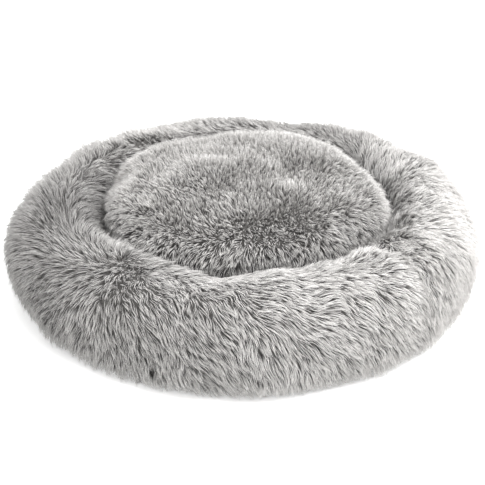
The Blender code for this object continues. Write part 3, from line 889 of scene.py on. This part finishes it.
def ring_groom(points, normals):
    """Flow of the ring's pile, lean at root and tip, length, droop and how readily it gathers in wisps."""
    section = ring_section_angle(points)
    around, outward = cover_directions(points, normals)
    crest = np.exp(-(((section - 80) / 62) ** 2))
    over = np.interp(section, (-90, 0, 50, 90, 115), (1, 1, 0.9, 0.5, 0))
    over += np.interp(section, (90, 118, 150, 180, 220), (0, 1, 1, 1.4, 1.4)) * by_azimuth(points, WELL_FLOW)
    swing = 0.26 * ripple(points, 0.09, 31) + 0.17 * ripple(points, 0.025, 32)
    swing += 0.2 * ripple(points, 0.007, 33)
    along = by_azimuth(points, CREST_FLOW) * np.interp(section, ALONG_SECTIONS, ALONG_SHARES)
    flow = outward * rows(over) + around * rows(along)
    for azimuth, angle in RING_PARTINGS:
        flow = parted(points, flow, ring_place(azimuth, angle))
    flow = swung(flow, normals, swing)
    lift = ripple(points, 0.03, 34)
    flat = crest * by_azimuth(points, CREST_LEAN) + (1 - crest) * 74
    lean_root = np.radians(0.44 * flat - 4 + 6 * lift)
    lean_tip = np.radians(flat + 6 * lift)
    inside = np.clip((section - 135) / 30, 0, 1) * np.clip((0.14 - points[:, 2]) / 0.04, 0, 1)
    length = settings()[0].ring_length * (1 + 0.13 * ripple(points, 0.004, 35)) * (1 - 0.35 * inside)
    length = np.minimum(length, clear_of_zip(points, ZIPS["ring"]))
    gather = 1 - 0.75 * crest * np.clip((flat - 60) / 20, 0, 1)
    return flow, lean_root, lean_tip, length, 0.35, gather


def ring_painted_shade_tone(points):
    """How pale the ring's strands are, from 0 to 1, as painted light and shade: painted shade where the pile
    is brushed up on the left, away from the key light, and on the back right rim, darker down the outer side
    towards the foot, and painted shade deep in the well.
    """
    section = ring_section_angle(points)
    tone = by_azimuth(points, CREST_PAINTED_SHADE_TONE)
    # Painted shade darker down the outer side towards the foot, painted light over the crest
    tone += np.interp(section, (-80, -35, 0, 60), (-0.3, -0.2, -0.06, 0.06))
    # Painted shade on the inner wall, deep in the well beside the cushion
    return tone * np.interp(section, (112, 150), (1, 0.1))


def ring_weight(points, normals):
    """Share of the full density: less where the ring stands on its foot and deep in the well."""
    deep = (np.hypot(points[:, 0], points[:, 1]) < RING_RADIUS - 0.03) & (points[:, 2] < 0.09)
    return np.where(points[:, 2] < 0.012, 0.25, np.where(deep, 0.35, by_azimuth(points, CREST_SHARE)))


CUSHION_NAP = (-0.12, -1.0, 0.0)  # which way the cushion's pile was brushed


def cushion_groom(points, normals):
    """The same for the cushion's pile, which stands more upright towards the crown."""
    _, outward = cover_directions(points, normals)
    swing = 0.22 * ripple(points, 0.07, 41) + 0.12 * ripple(points, 0.02, 42)
    swing += 0.4 * ripple(points, 0.006, 43)
    level = np.clip(normals[:, 2], 0, 1)
    downhill = np.interp(level, (0, 0.5, 0.85, 1), (1.0, 0.8, 0.4, 0.1))
    flow = outward * rows(downhill) + np.array(CUSHION_NAP) * rows(1.1 - downhill)
    lift = ripple(points, 0.03, 44)
    lean_root = np.radians(np.interp(level, (0, 0.6, 1), (26, 12, 2)) + 3 * lift)
    lean_tip = np.radians(np.interp(level, (0, 0.6, 1), (70, 46, 24)) + 4 * lift)
    length = settings()[0].cushion_length * (1 + 0.13 * ripple(points, 0.004, 45))
    length = length * np.interp(level, (0, 0.7, 1), (1.1, 1.05, 0.85))
    length = np.minimum(length, clear_of_zip(points, ZIPS["cushion"]))
    return swung(flow, normals, swing), lean_root, lean_tip, length, 0.3, np.full(len(points), 0.85)


def cushion_painted_shade_tone(points):
    """How pale the cushion's strands are, from 0 to 1, as painted light and shade: darker towards the right,
    where the key light falls, lighter towards the front, and painted shade dark in the crease beside the
    ring.
    """
    x, y, z = points.T
    # Painted shade towards the right, where the key light falls, and painted light towards the front
    tone = np.interp(x, (-0.25, 0.25), (0.8, 0.6)) + np.interp(y, (-0.25, 0), (0.12, 0))
    # Painted shade low in the crease beside the ring
    return tone * np.interp(z, (0.09, 0.15), (0.1, 1))


def cushion_weight(points, normals):
    """Share of the full density: less in the crease beside the ring."""
    return np.where(points[:, 2] < 0.1, 0.45, 1.0)


# ---------------------------------------------------------------- operators


def slot_faces(azimuths, angles, zip_line, low, high):
    """Which faces of a grid lie in a zip's slot."""
    last = 2 * azimuths[-1] - azimuths[-2]
    middles = (azimuths + np.diff(azimuths, append=last) / 2) % WHOLE_TURN
    inside = (middles > zip_line["start"]) & (middles < zip_line["end"])
    return inside[:, None] & (angles >= low - 1e-6) & (angles < high - 1e-6)


class PETBED_OT_ring_cover(bpy.types.Operator):
    """Sewn plush cover of the ring, in two halves, and its pile"""

    bl_idname = "pet_bed.ring_cover"
    bl_label = "Ring cover"

    def execute(self, context):
        azimuths, angles, (foot, low, high) = ring_layout()
        grid = ring_form()
        covered = (angles < 180 - foot - 1e-6) & ~slot_faces(azimuths, angles, ZIPS["ring"], low, high)
        back = rows(azimuths >= RING_SEAMS[1] - 1e-6)
        for side, half in (("right", ~back), ("left", back)):
            corners = grid_faces(*grid.shape[:2], True, covered & half)
            made = cloth_piece(f"ring_backing_{side}", grid, corners, knitted_backing(), "bolster")
            thicken(made, SKIN_THICKNESS)
            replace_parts(made, f"ring_plush_{side}")
        coat = ring_groom, ring_weight, ring_painted_shade_tone
        grow_pile("ring_pile", (grid, True, covered), coat, settings()[0].ring_density, "bolster", 14, 101)
        return {"FINISHED"}


class PETBED_OT_cushion_cover(bpy.types.Operator):
    """Sewn plush cover of the cushion, its pile and the cloth underneath"""

    bl_idname = "pet_bed.cushion_cover"
    bl_label = "Cushion cover"

    def execute(self, context):
        azimuths, angles, (seam, low, high) = cushion_layout()
        grid = cushion_form()
        angles = np.concatenate([np.full(grid.shape[1] - len(angles), -91.0), angles])[:-1]
        above_seam = np.tile(angles >= seam - 1e-6, (len(azimuths), 1))
        covered = above_seam & ~slot_faces(azimuths, angles, ZIPS["cushion"], low, high)
        corners = grid_faces(*grid.shape[:2], False, covered)
        made = cloth_piece("cushion_backing", grid, corners, knitted_backing(), "cushion")
        thicken(made, SKIN_THICKNESS)
        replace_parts(made, "cushion_plush_top")
        coat = cushion_groom, cushion_weight, cushion_painted_shade_tone
        density = settings()[0].cushion_density
        grow_pile("cushion_pile", (grid, False, covered), coat, density, "cushion", 5, 202)

        corners = grid_faces(*grid.shape[:2], False, ~above_seam)
        cloth = oxford_cloth()
        under = cloth_piece("cushion_underside_cloth", grid, corners, cloth, "cushion")
        thicken(under, 0.0008)
        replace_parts(under, "cushion_underside")
        return {"FINISHED"}


class PETBED_OT_stuffing(bpy.types.Operator):
    """Liner bags and fibre filling inside the ring and the cushion"""

    bl_idname = "pet_bed.stuffing"
    bl_label = "Liners and filling"

    def execute(self, context):
        layers = (
            ("liner", "liner_bag", spunbond_liner, "liner", 0.0036, 0.0005),
            ("fill", "fibre_filling", hollow_fibre, "fibre", 0.0075, 0.0012),
        )
        covers = (("ring", "bolster", ring_form(), True), ("cushion", "cushion", cushion_form(), False))
        for cover, body, grid, closed_rows in covers:
            normals = grid_normals(grid, closed_rows)
            corners = grid_faces(*grid.shape[:2], closed_rows)
            for node, piece, material, slot, depth, swell in layers:
                inset = depth + swell * ripple(grid, 0.02, 51 + len(cover))
                inset += 0.0025 * round_zip(grid, ZIPS[cover], 0.02)
                inside = grid - normals * rows(inset)
                made = cloth_piece(f"{cover}_{piece}", inside, corners, material(), body)
                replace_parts(made, f"{cover}_{node}")
        return {"FINISHED"}


DOT_HEIGHT, DOT_RADIUS, DOT_SPACING = 0.0007, 0.0032, 0.018


def grip_dots():
    """Low round dots in a triangular pattern on the underside of the base, made of three circles each."""
    mesh = bmesh.new()
    spots = int(BASE_RADIUS / DOT_SPACING) + 1
    circles = ((DOT_RADIUS, DOT_HEIGHT), (DOT_RADIUS * 0.8, 0.0002), (DOT_RADIUS * 0.4, 0.0))
    turns = np.arange(8) * math.pi / 4
    for column, line in itertools.product(range(-spots, spots + 1), repeat=2):
        x, y = (column + 0.5 * (line % 2)) * DOT_SPACING, line * DOT_SPACING * math.sqrt(0.75)
        if math.hypot(x, y) > BASE_RADIUS - 0.012:
            continue
        loops = [
            [mesh.verts.new((x + r * math.cos(turn), y + r * math.sin(turn), z)) for turn in turns]
            for r, z in circles
        ]
        for outer, inner in itertools.pairwise(loops):
            for k, after in enumerate(np.roll(np.arange(8), -1)):
                mesh.faces.new([outer[k], inner[k], inner[after], outer[after]])
        mesh.faces.new(loops[0])
        mesh.faces.new(loops[-1])
    data = bpy.data.meshes.new("base_grip_dots")
    mesh.to_mesh(data)
    mesh.free()
    return closed_mesh(data)


class PETBED_OT_base(bpy.types.Operator):
    """Round base cloth under the ring, with its grip dots"""

    bl_idname = "pet_bed.base"
    bl_label = "Base"

    def execute(self, context):
        radii = np.append(np.linspace(0, BASE_RADIUS - 0.004, 24), [BASE_RADIUS - 0.001, BASE_RADIUS])
        grid = turned(radii, np.full(len(radii), BASE_TOP), np.arange(0, WHOLE_TURN, 3.0))
        grid[..., 2] -= 0.00012 * np.clip(ripple(grid, 0.05, 61), -1, 1) + 0.00014
        corners = grid_faces(*grid.shape[:2], False, poles=(0,))
        made = cloth_piece("base_cloth", grid, corners, oxford_cloth(), "bolster")
        thicken(made, 0.0006)
        grip = link("base_grip_dots", grip_dots(), vinyl_dots(), "bolster")
        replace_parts(made, "base_panel")
        return {"FINISHED"}


def coil_mesh(name, node, pitch):
    """A zip coil wound round the middle of its CAD node, in the row's frame."""
    low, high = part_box(node)
    near, far = reach_of(node)
    start, end = turn_of(node)
    wire, sides, per_turn = 0.00032, 4, 6
    middle = (near + far) / 2
    length = math.radians(end - start) * middle
    turns = max(2, round(length / pitch))
    wound = np.arange(turns * per_turn + 1) / per_turn
    azimuth = math.radians(start) + wound * length / turns / middle
    radius = middle + ((far - near) / 2 - wire) * np.cos(2 * math.pi * wound)
    z = (low.z + high.z) / 2 + ((high.z - low.z) / 2 - wire) * np.sin(2 * math.pi * wound)
    line = np.stack([np.cos(azimuth) * radius, np.sin(azimuth) * radius, z], axis=1)
    along = np.stack([-np.sin(azimuth), np.cos(azimuth), np.zeros_like(azimuth)], axis=1)
    heading = unit(np.gradient(line, axis=0))
    side = unit(np.cross(heading, along))
    other = np.cross(heading, side)
    corners = rows(2 * math.pi * (np.arange(sides) + 0.5) / sides)
    points = line[:, None] + wire * (side[:, None] * np.cos(corners) + other[:, None] * np.sin(corners))
    faces = []
    for ring in range(len(line) - 1):
        for k in range(sides):
            a, b = ring * sides + k, ring * sides + (k + 1) % sides
            faces.append((a, b, b + sides, a + sides))
    faces += [tuple(range(sides)), tuple(range((len(line) - 1) * sides, len(line) * sides))]
    data = bpy.data.meshes.new(name)
    data.from_pydata(points.reshape(-1, 3).tolist(), [], faces)
    data.shade_smooth()
    return closed_mesh(data)


class PETBED_OT_zips(bpy.types.Operator):
    """Tapes, coils, stops, sliders and pulls of both zips"""

    bl_idname = "pet_bed.zips"
    bl_label = "Zips"

    def execute(self, context):
        zips = settings()[2]
        for cover, body in (("ring", "bolster"), ("cushion", "cushion")):
            for side in ("upper", "lower"):
                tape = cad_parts[f"{cover}_zip_tape_{side}"]
                tape.data.materials.clear()
                tape.data.materials.append(woven_tape())
                node, name = f"{cover}_zip_coil_{side}", f"{cover}_coil_{side}"
                data = coil_mesh(name, node, zips.coil_pitch)
                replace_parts(link(name, data, nylon_coil(), body), node)
            for piece in ("stop_start", "stop_end", "slider", "pull"):
                node = f"{cover}_zip_{piece}"
                data = closed_mesh(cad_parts[node].data.copy(), weld=1e-6)
                data.materials.clear()
                rides = body if piece.startswith("stop") else node
                made = link(f"{cover}_metal_{piece}", data, nickel_zinc(), rides)
                bevel = made.modifiers.new("rounding", "BEVEL")
                bevel.width, bevel.segments, bevel.limit_method = zips.rounding, 2, "ANGLE"
                bevel.angle_limit = math.radians(40)
                apply_modifiers(made)
                made.data.shade_smooth()
                made.data.set_sharp_from_angle(angle=math.radians(50))
                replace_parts(made, node)
        return {"FINISHED"}


class PETBED_OT_label(bpy.types.Operator):
    """Blank care label in the rear seam"""

    bl_idname = "pet_bed.label"
    bl_label = "Care label"

    def execute(self, context):
        low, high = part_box("care_label")
        seam = math.radians(RING_SEAMS[1])
        outward = np.array([math.cos(seam), math.sin(seam), 0.0])
        along, up = np.array([-math.sin(seam), math.cos(seam), 0.0]), np.array([0.0, 0.0, 1.0])
        points = node_points("care_label")
        near, side = (points @ outward).min(), points @ along
        width, height = side.max() - side.min(), high.z - low.z
        u, v = np.meshgrid(np.linspace(0, 1, 9), np.linspace(0, 1, 13), indexing="ij")
        curl = 0.0016 * np.sin(math.pi * u) * (1 - v) + 0.002 * (1 - v) ** 2
        grid = outward * rows(near + curl) + along * rows(side.min() + width * u)
        grid += up * rows(low.z + height * v)
        flat = np.ones((8, 12), bool)
        corners = grid_faces(9, 13, False, np.pad(flat, ((0, 1), (0, 0))), poles=())
        made = cloth_piece("woven_label", grid, corners, satin_label(), "bolster")
        thicken(made, 0.0004, 0.0)
        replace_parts(made, "care_label")
        return {"FINISHED"}


class PETBED_OT_stage(bpy.types.Operator):
    """Plain floor, soft light and camera"""

    bl_idname = "pet_bed.stage"
    bl_label = "Stage"

    def execute(self, context):
        scene = context.scene
        stage = scene.pet_bed_stage

        def placed(name, data, location, target=Vector()):
            """An object that looks from its location at the target."""
            made = bpy.data.objects.new(name, data)
            made.location = location
            made.rotation_euler = (target - location).to_track_quat("-Z", "Y").to_euler()
            scene.collection.objects.link(made)
            return made

        floor = bpy.data.meshes.new("floor")
        corners = [(x * 6.0, y * 6.0, 0.0) for x, y in ((-1, -1), (1, -1), (1, 1), (-1, 1))]
        floor.from_pydata(corners, [], [(0, 1, 2, 3)])
        # Opal acrylic, lit from below: a white ground that softens the shadow
        glow = {"Emission_Color": (1.0, 1.0, 1.0, 1.0), "Emission_Strength": 0.38}
        opal = new_material("opal_acrylic_floor", stage.floor_colour, 0.7, ior=1.49, **glow)
        floor.materials.append(opal[0])
        ground = bpy.data.objects.new("floor", floor)
        scene.collection.objects.link(ground)

        world = bpy.data.worlds.new("soft_surround")
        world.use_nodes = True
        # White walls, a little brighter to the right
        tree = world.node_tree
        direction = add_node(tree, "ShaderNodeTexCoord")
        parts = add_node(tree, "ShaderNodeSeparateXYZ", {0: direction.outputs["Generated"]})
        ends = {1: -0.9, 2: 0.9, 3: stage.surround * 0.78, 4: stage.surround}
        strength = add_node(tree, "ShaderNodeMapRange", {0: parts.outputs["X"]}, ends)
        background = tree.nodes["Background"].inputs
        background["Color"].default_value = (1.0, 1.0, 1.0, 1.0)
        tree.links.new(strength.outputs[0], background["Strength"])
        scene.world = world
        for name, place, power, size in (
            ("key_light", (1.6, -0.5, 3.0), stage.key_power, 3.0),
            ("fill_light", (0.2, -1.7, 2.8), stage.key_power * 0.22, 2.4),
        ):
            light = bpy.data.lights.new(name, "AREA")
            light.energy, light.size = power, size
            placed(name, light, Vector(place))

        target = Vector((-0.0036, 0.0, 0.069))
        away = Vector((0.0, -math.cos(stage.camera_height), math.sin(stage.camera_height)))
        camera = bpy.data.cameras.new("camera")
        camera.lens, camera.sensor_width = stage.lens, 36.0
        scene.camera = placed("camera", camera, target + away * stage.camera_distance, target)
        scene.view_settings.view_transform = "Standard"
        return {"FINISHED"}


class PETBED_PT_panel(bpy.types.Panel):
    """Pet bed"""

    bl_idname = "PETBED_PT_panel"
    bl_label = "Pet bed"
    bl_space_type = "VIEW_3D"
    bl_region_type = "UI"
    bl_category = "Pet bed"

    def draw(self, context):
        for operator in OPERATORS:
            self.layout.operator(operator.bl_idname)
        for group in GROUPS:
            owner = getattr(context.scene, group)
            box = self.layout.box()
            for name in owner.__annotations__:
                box.prop(owner, name)


OPERATORS = (
    PETBED_OT_stage,
    PETBED_OT_ring_cover,
    PETBED_OT_cushion_cover,
    PETBED_OT_stuffing,
    PETBED_OT_base,
    PETBED_OT_zips,
    PETBED_OT_label,
)
GROUPS = {
    "pet_bed_pile": PetBedPile,
    "pet_bed_cloths": PetBedCloths,
    "pet_bed_zips": PetBedZips,
    "pet_bed_stage": PetBedStage,
}
CLASSES = (*GROUPS.values(), *OPERATORS, PETBED_PT_panel)


def register():
    for each in CLASSES:
        bpy.utils.register_class(each)
    for name, group in GROUPS.items():
        setattr(bpy.types.Scene, name, PointerProperty(type=group))


def unregister():
    for name in GROUPS:
        delattr(bpy.types.Scene, name)
    for each in reversed(CLASSES):
        bpy.utils.unregister_class(each)


def main():
    register()
    bpy.ops.pet_bed.stage()
    bpy.ops.pet_bed.ring_cover()
    bpy.ops.pet_bed.cushion_cover()
    bpy.ops.pet_bed.stuffing()
    bpy.ops.pet_bed.base()
    bpy.ops.pet_bed.zips()
    bpy.ops.pet_bed.label()


if __name__ == "__main__":
    main()
